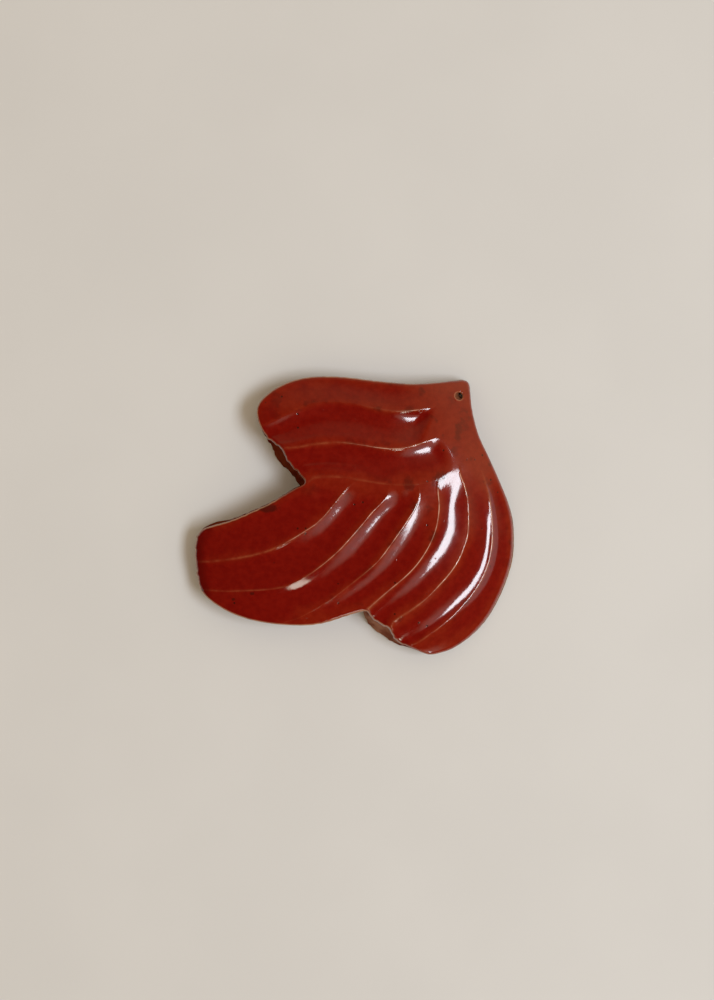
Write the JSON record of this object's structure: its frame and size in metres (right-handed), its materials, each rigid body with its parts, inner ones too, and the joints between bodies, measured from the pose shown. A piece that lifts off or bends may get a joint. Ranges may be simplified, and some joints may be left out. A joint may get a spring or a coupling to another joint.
{
  "type": "ceramic dove relief ornament",
  "caption": "Glossy dark red ceramic dove in relief, with fluted wings and tail sweeping back from the beak, an eye hole, and a flat closed back on felt pads.",
  "frame": {"origin": "bottom centre of the part's box, on the surface that the felt pads rest on", "axes": "+X towards the breast, +Y towards the beak, +Z out of the fluted face"},
  "size_m": [0.1458, 0.127, 0.024],
  "materials": {
    "oxblood_glaze": "glossy, orange-brown where it runs thin over the ridges",
    "bare_clay": "matt, unglazed and fine-grained",
    "felt": "soft pressed felt"
  },
  "bodies": {
    "root": {"relief_shell": "oxblood_glaze", "back_slab": "bare_clay", "felt_pad_head": "felt", "felt_pad_wing": "felt", "felt_pad_tail": "felt", "felt_pad_lower_wing": "felt"}
  },
  "joints": []
}
